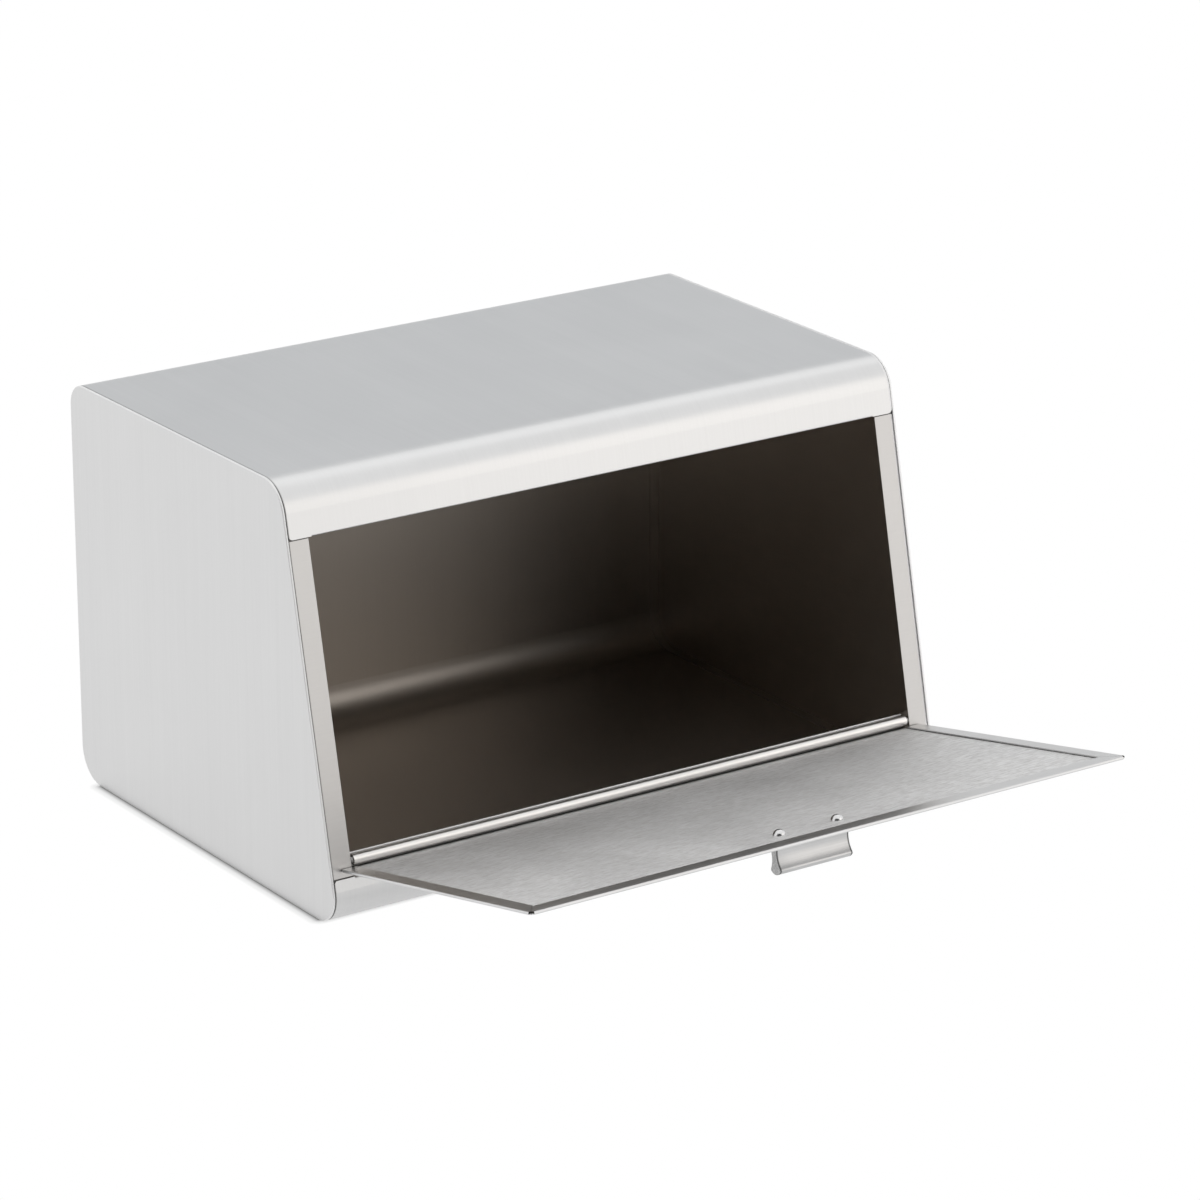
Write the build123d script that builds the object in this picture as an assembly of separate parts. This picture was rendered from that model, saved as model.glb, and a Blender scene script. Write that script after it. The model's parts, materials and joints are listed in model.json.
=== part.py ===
from build123d import *
import math
import os

# A bread box of brushed stainless sheet, with a door that drops down on a rolled hinge.
# X runs along its width, the mouth faces -Y, and it stands on z = 0. All sizes are in millimetres.

# The box
BOX_WIDTH = 340.0
BOX_HEIGHT = 200.0
BASE_DEPTH = 234.0  # from the back to the sharp lower corner of the leaning front
TOP_DEPTH = 190.5  # from the back to its sharp upper corner
REAR_Y = 115.0
FRONT_TOP_BEND = 17.0
REAR_TOP_BEND = 11.5
REAR_BOTTOM_BEND = 17.0
FRONT_BOTTOM_BEND = 14.0
SHEET = 0.6  # every sheet in the box has this thickness

# The sides: an outer cover with a turned rim, and a flanged inner wall
RIM_DEPTH = 1.1
RIM_ROUND = 0.5
GROOVE = 0.25  # between the cover's rim and the wrapper's edge
STRIP_WIDTH = 11.2  # the inner wall's front flange, seen beside the mouth
FLANGE_WIDTH = 6.0  # its other flanges, welded under the wrapper
STRIP_RUN = 9.0  # how far behind the front the wide flange goes on
STRIP_BEND = 1.3  # the rounded corner that leaves a groove beside the cover's rim

# The front, measured up its slope from the sharp lower corner
SILL_TOP = 22.8
HEADER_BOTTOM = 178.9
HEADER_CORNER = 2.5
SILL_CUT = 1.4  # across the sill's upper corners
HEM_GAP = 0.3  # left open inside each fold
HEADER_HEM = 9.0
HEADER_HEM_MARGIN = 1.5  # from the strips
LIP_DEPTH = 5.6  # behind the front, just clear of the hinge tube
LIP_TOP = 33.0
LIP_MARGIN = 0.8  # from the strips
LEDGE_BEND = 1.0

# The hinge
AXIS_UP = 30.2  # up the slope
AXIS_DEPTH = 2.4  # behind the front
ROD_DIAMETER = 3.6
ROD_PIN = 2.2  # its turned-down ends, which the tabs hold
ROD_PIN_REACH = 0.7  # past each tab
ROD_END_CHAMFER = 0.4
ROD_PLAY = 0.3  # between its shoulders and the tabs
RUNNING_GAP = 0.05
TAB_RADIUS = 4.6
OPEN_ANGLE = 90.4  # from shut to the stop

# The door, as it lies open
DOOR_WIDTH = 328.2
DOOR_REACH = 157.5  # from the box's front to the free edge
DOOR_GAP = 0.3  # between the shut door's hems and the header
EAR_GAP = 0.4  # between the open door's ears and the strips
SIDE_HEM = 8.0
FRONT_HEM = 10.0
MITRE_GAP = 0.4
CORNER_RELIEF = 1.3
TUBE_MARGIN = 1.6  # between the tube's ends and the tabs
TUBE_WRAP = 255.0
WEB_BEND = 1.0

# The handle, an extruded pull with a waist and a rounded tip, and its two blind rivets
HANDLE_WIDTH = 40.0
HANDLE_BACKSET = 24.0  # from the free edge to its middle
HANDLE_DROP = 17.0
HANDLE_BASE = 9.0
HANDLE_BASE_STEP = 0.8
HANDLE_WAIST = 3.6
HANDLE_WAIST_DROP = 8.0
HANDLE_BULB = 7.8
HANDLE_BULB_DROP = 14.8
HANDLE_LIP_ROUND = 0.9
RIVET_PITCH = 32.0
RIVET_HEAD = 6.0
RIVET_HEAD_HEIGHT = 2.5
RIVET_SHANK = 3.0
RIVET_DEPTH = 5.0  # into the handle
MANDREL_HOLE = 1.6
MANDREL_DEPTH = 1.2
DOME_SHOULDER = 0.72  # the share of its radius and of its height at which the domed head turns over

CUT = 10.0  # the length of a cut that goes right through a hem
BEYOND = 2 * BASE_DEPTH  # far enough to cut past the whole box

LEAN = math.atan2(BASE_DEPTH - TOP_DEPTH, BOX_HEIGHT)
FRONT_FOOT_Y = REAR_Y - BASE_DEPTH
HALF_WIDTH = BOX_WIDTH / 2
WRAPPER_HALF = HALF_WIDTH - RIM_DEPTH - GROOVE
WALL_OUTER = HALF_WIDTH - SHEET
MOUTH_HALF = WALL_OUTER - STRIP_WIDTH
FOLD_RADIUS = SHEET + HEM_GAP / 2
HEM_THICKNESS = 2 * FOLD_RADIUS
FLAT_FOOT = FRONT_BOTTOM_BEND / math.tan((math.pi / 2 - LEAN) / 2)  # the front is flat from here up its slope
FLAT_HEAD = BOX_HEIGHT / math.cos(LEAN) - FRONT_TOP_BEND / math.tan((math.pi / 2 + LEAN) / 2)  # to here

# The leaning front's own plane: X across, Y up the slope, Z out of the box
FRONT = Plane(
    origin=(0, FRONT_FOOT_Y, 0),
    x_dir=(1, 0, 0),
    z_dir=(0, -math.cos(LEAN), math.sin(LEAN)),
)


def front_point(up, depth):
    """The (y, z) of a point on the front, so far up its slope and so deep behind it."""
    y = FRONT_FOOT_Y + up * math.sin(LEAN) + depth * math.cos(LEAN)
    z = up * math.cos(LEAN) - depth * math.sin(LEAN)
    return y, z


# The open door's own plane: its origin is on the hinge axis, -Y runs out along the door, Z is its inner side
OPEN_TILT = LEAN - math.radians(OPEN_ANGLE - 90)
HINGE = Plane(
    origin=(0, *front_point(AXIS_UP, AXIS_DEPTH)),
    x_dir=(1, 0, 0),
    z_dir=(0, math.sin(OPEN_TILT), math.cos(OPEN_TILT)),
)
TUBE_INNER = ROD_DIAMETER / 2 + RUNNING_GAP
TUBE_OUTER = TUBE_INNER + SHEET
TUBE_HALF = MOUTH_HALF - TUBE_MARGIN
HEM_TOP_Z = -(AXIS_DEPTH + DOOR_GAP)  # the door shuts with its hems this far in front of the axis
PANEL_OUTER_Z = HEM_TOP_Z - HEM_THICKNESS
PANEL_INNER_Z = PANEL_OUTER_Z + SHEET
EAR_Y = -(AXIS_DEPTH + EAR_GAP)
FREE_EDGE_Y = -(AXIS_DEPTH + DOOR_REACH)
DOOR_HALF = DOOR_WIDTH / 2
HANDLE_Y = FREE_EDGE_Y + HANDLE_BACKSET


def bent_sheet(line, side):
    """A bent sheet in the side view: the line of one face, thickened to the given side."""
    return Plane.YZ * make_face(line.wire().offset_2d(SHEET, side=side))


def across(section, start, end):
    """A side-view section carried across the box from one x to another."""
    return Pos(start, 0, 0) * extrude(section, end - start, dir=(1, 0, 0))


def front_block(x, up, depth):
    """A block set square to the leaning front, from its ranges across, up the slope and behind it."""
    block = Box(x[1] - x[0], up[1] - up[0], depth[1] - depth[0])
    return FRONT * (Pos(sum(x) / 2, sum(up) / 2, -sum(depth) / 2) * block)


def outline(inset):
    """The closed side outline of the box, inset from its outer face."""
    corners = [
        (FRONT_FOOT_Y, 0),
        (REAR_Y, 0),
        (REAR_Y, BOX_HEIGHT),
        (REAR_Y - TOP_DEPTH, BOX_HEIGHT),
    ]
    bends = [FRONT_BOTTOM_BEND, REAR_BOTTOM_BEND, REAR_TOP_BEND, FRONT_TOP_BEND]
    line = FilletPolyline(*corners, radius=bends, close=True).wire()
    if inset:
        line = line.offset_2d(-inset)
    return Plane.YZ * make_face(line)


def hem_section(width):
    """A folded hem: x runs in from the folded edge, y from the outer face to the turned leaf."""
    ring = Circle(FOLD_RADIUS) - Circle(HEM_GAP / 2)
    outer_half = Pos(-FOLD_RADIUS / 2, 0) * Rectangle(FOLD_RADIUS, HEM_THICKNESS)
    fold = Pos(FOLD_RADIUS, FOLD_RADIUS) * (ring & outer_half)
    leaf = Pos((FOLD_RADIUS + width) / 2, HEM_THICKNESS - SHEET / 2) * Rectangle(width - FOLD_RADIUS, SHEET)
    return fold + leaf


def wrapper_sheet():
    """Header, top, back, bottom and sill, bent from one sheet."""
    line = FilletPolyline(
        front_point(HEADER_BOTTOM, 0),
        (REAR_Y - TOP_DEPTH, BOX_HEIGHT),
        (REAR_Y, BOX_HEIGHT),
        (REAR_Y, 0),
        (FRONT_FOOT_Y, 0),
        front_point(SILL_TOP, 0),
        radius=[FRONT_TOP_BEND, REAR_TOP_BEND, REAR_BOTTOM_BEND, FRONT_BOTTOM_BEND],
    )
    sheet = across(bent_sheet(line, Side.RIGHT), -WRAPPER_HALF, WRAPPER_HALF)
    through_edges = sheet.edges().filter_by(Axis((0, 0, 0), FRONT.z_dir)).sort_by(Axis.Z)
    sheet = fillet(through_edges[-2:], HEADER_CORNER)
    through_edges = sheet.edges().filter_by(Axis((0, 0, 0), FRONT.z_dir)).sort_by(Axis.Z)
    return chamfer(through_edges[:2], SILL_CUT)


def header_hem(half):
    """The header's lower edge, folded back inside the mouth."""
    start = Plane(
        origin=(half, *front_point(HEADER_BOTTOM, 0)),
        x_dir=FRONT.y_dir,
        z_dir=(-1, 0, 0),
    )
    return extrude(start * hem_section(HEADER_HEM), 2 * half)


def sill_gutter(half):
    """The sill's ledge under the hinge tube, and the lip that stands behind it."""
    line = FilletPolyline(
        front_point(SILL_TOP - 2 * LEDGE_BEND, 0),
        front_point(SILL_TOP, 0),
        front_point(SILL_TOP, LIP_DEPTH),
        front_point(LIP_TOP, LIP_DEPTH),
        radius=[LEDGE_BEND, LEDGE_BEND - SHEET],
    )
    return across(bent_sheet(line, Side.RIGHT), -half, half)


def body_wrapper():
    """The one sheet that goes round the box, with its hem and gutter inside the mouth."""
    hem_half = MOUTH_HALF - HEADER_HEM_MARGIN
    gutter_half = MOUTH_HALF - LIP_MARGIN
    wrapper = wrapper_sheet()
    hem_ups = (HEADER_BOTTOM - FOLD_RADIUS, HEADER_BOTTOM + FOLD_RADIUS)
    ledge_ups = (SILL_TOP - LEDGE_BEND, SILL_TOP + LEDGE_BEND)
    wrapper -= front_block((-hem_half, hem_half), hem_ups, (-SHEET, 2 * SHEET))
    wrapper -= front_block((-gutter_half, gutter_half), ledge_ups, (-SHEET, 2 * SHEET))
    return wrapper + header_hem(hem_half) + sill_gutter(gutter_half)


def right_side_cover():
    """The outer side plate, with its rounded rim turned in towards the wrapper."""
    cover = across(outline(0), HALF_WIDTH - RIM_DEPTH, HALF_WIDTH)
    cover = fillet(cover.faces().sort_by(Axis.X)[-1].edges(), RIM_ROUND)
    return cover - across(outline(SHEET), HALF_WIDTH - 2 * RIM_DEPTH, HALF_WIDTH - SHEET)


def hinge_tab():
    """A tab turned back from the strip's edge, with the hole that holds the rod."""
    plane = Plane(
        origin=(MOUTH_HALF, *front_point(AXIS_UP, AXIS_DEPTH)),
        x_dir=-FRONT.z_dir,
        z_dir=(1, 0, 0),
    )
    run = AXIS_DEPTH - SHEET
    eye = Circle(TAB_RADIUS) & (Pos(TAB_RADIUS / 2, 0) * Rectangle(TAB_RADIUS, 2 * TAB_RADIUS))
    eye += Pos(-run / 2, 0) * Rectangle(run, 2 * TAB_RADIUS)
    eye -= Circle(ROD_PIN / 2 + RUNNING_GAP)
    return extrude(plane * eye, SHEET)


def strip_bend(bottom, top):
    """The rounded corner between wall and strip, bent across the box and carried up the slope."""
    line = FilletPolyline(
        (WALL_OUTER, -SHEET - 2 * STRIP_BEND),
        (WALL_OUTER, -SHEET),
        (WALL_OUTER - 2 * STRIP_BEND, -SHEET),
        radius=STRIP_BEND,
    )
    corner = Plane.XZ * make_face(line.wire().offset_2d(SHEET, side=Side.LEFT))
    return FRONT * Pos(0, bottom, 0) * extrude(corner, top - bottom, dir=(0, 1, 0))


def right_inner_wall():
    """A flanged pan: its front flange is the strip beside the mouth, the others lie under the wrapper."""
    pan = across(outline(SHEET), MOUTH_HALF, WALL_OUTER)
    pan -= across(outline(2 * SHEET), MOUTH_HALF - SHEET, WALL_OUTER - SHEET)
    narrowed = (MOUTH_HALF - SHEET, WALL_OUTER - FLANGE_WIDTH)
    pan -= front_block(narrowed, (-BEYOND, BEYOND), (STRIP_RUN, BEYOND))
    bend_xs = (WALL_OUTER - STRIP_BEND, WALL_OUTER + SHEET)
    pan -= front_block(bend_xs, (FLAT_FOOT, FLAT_HEAD), (0, SHEET + STRIP_BEND))
    return pan + strip_bend(FLAT_FOOT, FLAT_HEAD) + hinge_tab()


def hinge_rod():
    """The rod that the door's rolled edge turns on, shouldered down where both tabs hold it."""
    pin_half = MOUTH_HALF + SHEET + ROD_PIN_REACH
    pins = chamfer(Cylinder(ROD_PIN / 2, 2 * pin_half).edges().filter_by(GeomType.CIRCLE), ROD_END_CHAMFER)
    rod = pins + Cylinder(ROD_DIAMETER / 2, 2 * (MOUTH_HALF - ROD_PLAY))
    return HINGE * (Rot(0, 90, 0) * rod)


def rolled_edge():
    """The door's rear edge: a web that rises behind the rod and then rolls round it."""
    rise = FilletPolyline(
        (EAR_Y - SHEET, PANEL_OUTER_Z),
        (TUBE_OUTER, PANEL_OUTER_Z),
        (TUBE_OUTER, 0),
        radius=WEB_BEND,
    )
    roll = CenterArc((0, 0), TUBE_OUTER, 0, TUBE_WRAP)
    return across(bent_sheet(rise + roll, Side.RIGHT), -TUBE_HALF, TUBE_HALF)


def door_hems():
    """The folds along the door's left, right and free edges, mitred where they meet."""
    run = EAR_Y - FREE_EDGE_Y
    left_plane = Plane(origin=(-DOOR_HALF, EAR_Y, PANEL_OUTER_Z), x_dir=(1, 0, 0), z_dir=(0, -1, 0))
    front_plane = Plane(origin=(-DOOR_HALF, FREE_EDGE_Y, PANEL_OUTER_Z), x_dir=(0, 1, 0), z_dir=(1, 0, 0))
    mitre = (-DOOR_HALF + SIDE_HEM, FREE_EDGE_Y + FRONT_HEM)
    left_plan = Polyline(
        (-DOOR_HALF, EAR_Y),
        (-DOOR_HALF, FREE_EDGE_Y + MITRE_GAP),
        (mitre[0], mitre[1] + MITRE_GAP),
        (mitre[0], EAR_Y),
        close=True,
    )
    front_plan = Polyline(
        (-DOOR_HALF, FREE_EDGE_Y),
        mitre,
        (-mitre[0], mitre[1]),
        (DOOR_HALF, FREE_EDGE_Y),
        close=True,
    )
    left = extrude(left_plane * hem_section(SIDE_HEM), run)
    left &= Pos(0, 0, PANEL_OUTER_Z) * extrude(make_face(left_plan), HEM_THICKNESS)
    front = extrude(front_plane * hem_section(FRONT_HEM), DOOR_WIDTH)
    front &= Pos(0, 0, PANEL_OUTER_Z) * extrude(make_face(front_plan), HEM_THICKNESS)
    return [left, mirror(left, about=Plane.YZ), front]


def rivet_spots():
    """The two rivets' places on the open door's plane."""
    return [Pos(side * RIVET_PITCH / 2, HANDLE_Y, 0) for side in (-1, 1)]


def door_panel():
    """The hemmed sheet of the door, with its rolled edge, corner reliefs and rivet holes."""
    flat_half = DOOR_HALF - FOLD_RADIUS
    flat_run = EAR_Y - FREE_EDGE_Y - FOLD_RADIUS
    flat_middle = (EAR_Y + FREE_EDGE_Y + FOLD_RADIUS) / 2
    door = Pos(0, flat_middle, PANEL_OUTER_Z + SHEET / 2) * Box(2 * flat_half, flat_run, SHEET)
    door += rolled_edge()
    for hem in door_hems():
        door += hem
    relief = Cylinder(CORNER_RELIEF, CUT)
    for side in (-1, 1):
        door -= Pos(side * flat_half, FREE_EDGE_Y + FOLD_RADIUS, PANEL_OUTER_Z) * relief
    for spot in rivet_spots():
        door -= spot * Pos(0, 0, PANEL_OUTER_Z) * Cylinder(RIVET_SHANK / 2 + RUNNING_GAP, CUT)
    return HINGE * door


def door_handle():
    """The extruded pull: flanks that curve in to a waist, and a rounded tip."""
    base = HANDLE_BASE / 2
    lip = HANDLE_BULB / 2
    flank = ThreePointArc(
        (base, -HANDLE_BASE_STEP),
        (HANDLE_WAIST / 2, -HANDLE_WAIST_DROP),
        (lip, -HANDLE_BULB_DROP),
    )
    tip = ThreePointArc((lip, -HANDLE_BULB_DROP), (0, -HANDLE_DROP), (-lip, -HANDLE_BULB_DROP))
    top = Polyline((-base, -HANDLE_BASE_STEP), (-base, 0), (base, 0), (base, -HANDLE_BASE_STEP))
    section = make_face(flank + tip + mirror(flank, about=Plane.YZ) + top)
    lips = section.vertices().group_by(Axis.Y)[0]
    section = Pos(HANDLE_Y, PANEL_OUTER_Z) * fillet(lips, HANDLE_LIP_ROUND)
    handle = across(Plane.YZ * section, -HANDLE_WIDTH / 2, HANDLE_WIDTH / 2)
    for spot in rivet_spots():
        hole_middle = PANEL_OUTER_Z - RIVET_DEPTH / 2
        handle -= spot * Pos(0, 0, hole_middle) * Cylinder(RIVET_SHANK / 2 + RUNNING_GAP, RIVET_DEPTH)
    return HINGE * handle


def blind_rivet():
    """One blind rivet standing on z = 0: a domed head with its mandrel hole, and a shank below."""
    head = RIVET_HEAD / 2
    hole = MANDREL_HOLE / 2
    shank_end = -(SHEET + RIVET_DEPTH)
    dome = ThreePointArc(
        (head, 0),
        (DOME_SHOULDER * head, DOME_SHOULDER * RIVET_HEAD_HEIGHT),
        (hole, RIVET_HEAD_HEIGHT),
    )
    rest = Polyline(
        (hole, RIVET_HEAD_HEIGHT),
        (hole, RIVET_HEAD_HEIGHT - MANDREL_DEPTH),
        (0, RIVET_HEAD_HEIGHT - MANDREL_DEPTH),
        (0, shank_end),
        (RIVET_SHANK / 2, shank_end),
        (RIVET_SHANK / 2, 0),
        (head, 0),
    )
    return revolve(Plane.XZ * make_face(dome + rest), Axis.Z)


def handle_rivets():
    """Both rivets, their heads on the door's inner face."""
    rivet = Pos(0, 0, PANEL_INNER_Z) * blind_rivet()
    return HINGE * Compound(children=[spot * rivet for spot in rivet_spots()])


def main():
    cover = right_side_cover()
    wall = right_inner_wall()
    nodes = {
        "body_wrapper": body_wrapper(),
        "right_side_cover": cover,
        "left_side_cover": mirror(cover, about=Plane.YZ),
        "right_inner_wall": wall,
        "left_inner_wall": mirror(wall, about=Plane.YZ),
        "hinge_rod": hinge_rod(),
        "door_panel": door_panel(),
        "door_handle": door_handle(),
        "handle_rivets": handle_rivets(),
    }
    os.makedirs("parts", exist_ok=True)
    for name, solid in nodes.items():
        export_step(solid, f"parts/{name}.step")
        print(f"{name}: {len(solid.solids())} solid, {solid.volume:.0f} mm3")
    print("hinge axis at", HINGE.origin, "open door tilts up", round(math.degrees(OPEN_TILT), 2))


main()
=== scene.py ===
# %% [markdown]
# # A bread box of brushed stainless sheet
# The box is one bent wrapper between two side covers, with a flat door that drops down on a rolled edge.
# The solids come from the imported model, so every sheet already has its true size and place in metres.
# What Blender adds is the light, the finishes, and finer meshes for the small turned and extruded pieces.

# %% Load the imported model
import json
import math
import bmesh
import bpy
from mathutils import Matrix, Vector


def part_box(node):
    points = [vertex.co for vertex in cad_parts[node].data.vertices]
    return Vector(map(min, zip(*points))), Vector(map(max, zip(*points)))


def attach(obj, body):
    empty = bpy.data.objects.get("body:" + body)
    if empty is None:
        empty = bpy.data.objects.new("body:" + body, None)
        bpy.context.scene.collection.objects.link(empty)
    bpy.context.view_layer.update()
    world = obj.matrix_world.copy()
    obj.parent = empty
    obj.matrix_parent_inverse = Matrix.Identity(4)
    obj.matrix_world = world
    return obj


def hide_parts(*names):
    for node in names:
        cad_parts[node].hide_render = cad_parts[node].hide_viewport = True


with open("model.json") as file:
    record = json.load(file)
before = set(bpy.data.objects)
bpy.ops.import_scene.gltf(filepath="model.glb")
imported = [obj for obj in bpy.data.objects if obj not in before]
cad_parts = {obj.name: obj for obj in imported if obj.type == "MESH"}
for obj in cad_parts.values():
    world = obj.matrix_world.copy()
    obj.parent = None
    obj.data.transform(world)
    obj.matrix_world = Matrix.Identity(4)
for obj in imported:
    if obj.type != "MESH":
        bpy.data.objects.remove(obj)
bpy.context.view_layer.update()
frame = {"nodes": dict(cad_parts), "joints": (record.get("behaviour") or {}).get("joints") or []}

nodes = frame["nodes"]
scene = bpy.context.scene
scene.view_settings.view_transform = "Standard"
print("nodes:", sorted(nodes))

# %% [markdown]
# The camera stands low and to the left, far away behind a long lens,
# so the box's edges stay nearly parallel.
# It could be aimed with a Track To constraint, but a plain matrix is exact:
# its three columns are the picture's right, the picture's up and the way back towards the camera.

# %% Camera
EYE = Vector((-1.3321, -2.0294, 0.9465))
PICTURE_RIGHT = Vector((0.8255, -0.5643, -0.0007))
PICTURE_UP = Vector((0.1884, 0.2744, 0.943))
LENS_MM = 161.3
SENSOR_MM = 36.0

back = PICTURE_RIGHT.cross(PICTURE_UP).normalized()
right = PICTURE_UP.cross(back).normalized()
up = back.cross(right)
camera_data = bpy.data.cameras.new("camera")
camera_data.lens = LENS_MM
camera_data.sensor_width = SENSOR_MM
camera = bpy.data.objects.new("camera", camera_data)
scene.collection.objects.link(camera)
turn = Matrix((right, up, back)).transposed().to_4x4()
camera.matrix_world = Matrix.Translation(EYE) @ turn
scene.camera = camera
print("camera elevation:", round(math.degrees(math.asin(back.z)), 1))

# %% [markdown]
# Shader trees are easier to read when each node is made in one line.
# `add` makes a node and sets its values, and a value that is an output socket becomes a link.
# The helpers after it are the few sums and mixes that nearly every finish needs.

# %% A short way to write shader nodes
def add(tree, kind, label="", **settings):
    """One shader node; a capital marks an input socket (I and a number for its place), or else a setting."""
    made = tree.nodes.new("ShaderNode" + kind)
    made.label = label
    for name, value in settings.items():
        if name[0].islower():
            setattr(made, name, value)
            continue
        socket = made.inputs[int(name[1:]) if name[1:].isdigit() else name.replace("_", " ")]
        if isinstance(value, bpy.types.NodeSocket):
            tree.links.new(value, socket)
        else:
            socket.default_value = value
    return made


print("nodes are made by:", add.__name__)

# %% Sums of numbers and vectors
def math_of(tree, operation, first, second=0.0):
    """A Math node's result, for two numbers or sockets."""
    return add(tree, "Math", operation=operation, I0=first, I1=second).outputs[0]


def plus(tree, first, second):
    """The sum of two numbers or sockets."""
    return math_of(tree, "ADD", first, second)


def times(tree, first, second):
    """Their product, which for two masks is where both hold."""
    return math_of(tree, "MULTIPLY", first, second)


def remap(tree, value, old_low, old_high, new_low=0.0, new_high=1.0):
    """A value moved from one range to another, and held inside it."""
    return add(tree, "MapRange", I0=value, I1=old_low, I2=old_high, I3=new_low, I4=new_high).outputs[0]


def spread(tree, value, low, high):
    """A value from 0 to 1, spread over a range."""
    return remap(tree, value, 0.0, 1.0, low, high)


def vector_of(tree, operation, first, second=(0.0, 0.0, 0.0)):
    """A Vector Math node's result: a number for a length or a dot product, or else a vector."""
    made = add(tree, "VectorMath", operation=operation, I0=first, I1=second)
    return made.outputs["Value" if operation in ("LENGTH", "DOT_PRODUCT") else "Vector"]


print("sums:", [helper.__name__ for helper in (math_of, plus, times, remap, spread, vector_of)])

# %% Greys and mixes
def grey(value, warmth=0.0):
    """A grey as a colour, a little redder and less blue where warmth is above 0."""
    return (value * (1 + warmth), value, value * (1 - warmth), 1.0)


def mix_values(tree, share, first, second):
    """Two numbers mixed by a share from 0 to 1."""
    return add(tree, "Mix", data_type="FLOAT", I0=share, I2=first, I3=second).outputs[0]


def mix_colours(tree, share, first, second, blend="MIX"):
    """Two colours mixed by a share from 0 to 1."""
    mixed = add(tree, "Mix", data_type="RGBA", blend_type=blend, I0=share, I6=first, I7=second)
    return mixed.outputs[2]


def shaded(tree, colour, light):
    """A colour made lighter or darker by a factor."""
    return mix_colours(tree, 1.0, colour, light, "MULTIPLY")


print("a warm grey:", [round(v, 3) for v in grey(0.5, 0.03)])

# %% Starting, closing and applying a material
def empty_material(name):
    """A material whose tree is still empty."""
    material = bpy.data.materials.new(name)
    material.use_nodes = True
    material.node_tree.nodes.clear()
    return material, material.node_tree


def close_material(tree, shader):
    """Joins the last shader to the material's output."""
    output = tree.nodes.new("ShaderNodeOutputMaterial")
    tree.links.new(shader.outputs[0], output.inputs["Surface"])


def bump(tree, height, strength, depth):
    """A normal that follows a height."""
    return add(tree, "Bump", Height=height, Strength=strength, Distance=depth).outputs[0]


def close_as_metal(tree, colour, gloss, relief):
    """Ends a material's tree as bare metal."""
    metal = add(tree, "BsdfPrincipled", Metallic=1.0, Base_Color=colour, Roughness=gloss, Normal=relief)
    close_material(tree, metal)


def dress(piece, *finishes):
    """Gives a piece its finish, or its finishes in the order of their slots."""
    piece.data.materials.clear()
    for finish in finishes:
        piece.data.materials.append(finish)


print("material helpers ready")

# %% [markdown]
# The picture is a pack shot on white, so the world is plain white and lights the box from all sides.
# A white floor that is only lit would come out grey, so to the camera this one glows white by itself.
# Right beside the box it keeps a share of real shading, so that the shadow stays, and where the box touches
# it a painted shadow darkens its colour.
# In mirrors it keeps some everywhere, because the sheets show the floor darker where the box shades it.

# %% White world
world = bpy.data.worlds.new("studio")
scene.world = world
world.use_nodes = True
sky = world.node_tree
sky.nodes.clear()
white = add(sky, "Background", Color=grey(1.0), Strength=1.0)
world_output = sky.nodes.new("ShaderNodeOutputWorld")
sky.links.new(white.outputs[0], world_output.inputs["Surface"])
print("world:", world.name)

# %% Floor: a plane
FLOOR_SIZE = 14.0
FLOOR_LEVEL = -0.0002  # a hair below the box, so that no two faces lie in one plane

bpy.ops.object.select_all(action="DESELECT")
bpy.ops.mesh.primitive_plane_add(size=FLOOR_SIZE, location=(0, 0, FLOOR_LEVEL))
floor = bpy.context.object
floor.name = "floor"
bpy.ops.object.transform_apply(location=True)
print("floor:", FLOOR_SIZE, "m across")

# %% Floor: white, with a shadow beside the box
# The flat of the bottom, between the lower bends, is where the box touches the floor.
FLAT_BOTTOM = (Vector((-0.1695, -0.1016)), Vector((0.1695, 0.098)))
SHADOW_REACH = 0.006  # from there, where the shadow has faded out
SHADOW_SHARE = 0.85
CONTACT_LINE = 0.003  # within this, a painted shadow darkens the floor's colour right beside the sheet
CONTACT_SHADOW_GREY = grey(0.15)
LIT_GREY = grey(0.95)
MIRRORED_WHITE = 0.75


def seen_directly(tree, mirrored):
    """1 for camera rays, `mirrored` for mirror rays, and 0 for the rays that only light things."""
    path = add(tree, "LightPath").outputs
    return math_of(tree, "MAXIMUM", path["Is Camera Ray"], times(tree, path["Is Glossy Ray"], mirrored))


material, tree = empty_material("white floor")
place = add(tree, "TexCoord").outputs["Object"]
middle = (FLAT_BOTTOM[0] + FLAT_BOTTOM[1]) / 2
half = (FLAT_BOTTOM[1] - FLAT_BOTTOM[0]) / 2
from_middle = vector_of(tree, "SUBTRACT", place, (middle.x, middle.y, 0.0))
outside = vector_of(tree, "SUBTRACT", vector_of(tree, "ABSOLUTE", from_middle), (half.x, half.y, 1.0))
distance = vector_of(tree, "LENGTH", vector_of(tree, "MAXIMUM", outside, (0.0, 0.0, 0.0)))
shadow = remap(tree, distance, 0.0, SHADOW_REACH, SHADOW_SHARE, 0.0)
clear_of_shadow = math_of(tree, "SUBTRACT", 1.0, shadow)
glow_share = times(tree, clear_of_shadow, seen_directly(tree, MIRRORED_WHITE))
# painted contact shadow: the floor's colour is darkened along the line where the box touches it
painted_contact_shadow = remap(tree, distance, 0.0, CONTACT_LINE, 1.0, 0.0)
shade = add(tree, "BsdfDiffuse", Color=mix_colours(tree, painted_contact_shadow, LIT_GREY, CONTACT_SHADOW_GREY))
glow = add(tree, "Emission", Color=grey(1.0), Strength=1.0)
close_material(tree, add(tree, "MixShader", I0=glow_share, I1=shade.outputs[0], I2=glow.outputs[0]))
dress(floor, material)
print("floor material:", material.name)

# %% [markdown]
# Polished sheet shows mostly what stands around it, so metal is lit by what it mirrors.
# A soft overhead lamp brightens the start of the front bend,
# and a broad warm one at the front right lights the header.
# A dark flag behind the camera gives the bends, the hinge and the inside something dark to mirror,
# and a pale cool card at the back right tones down the top. The camera itself sees none of them.

# %% Lamps
POWER_PER_RADIANCE = 4.0  # Cycles spreads an area lamp's power over four times its area


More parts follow.
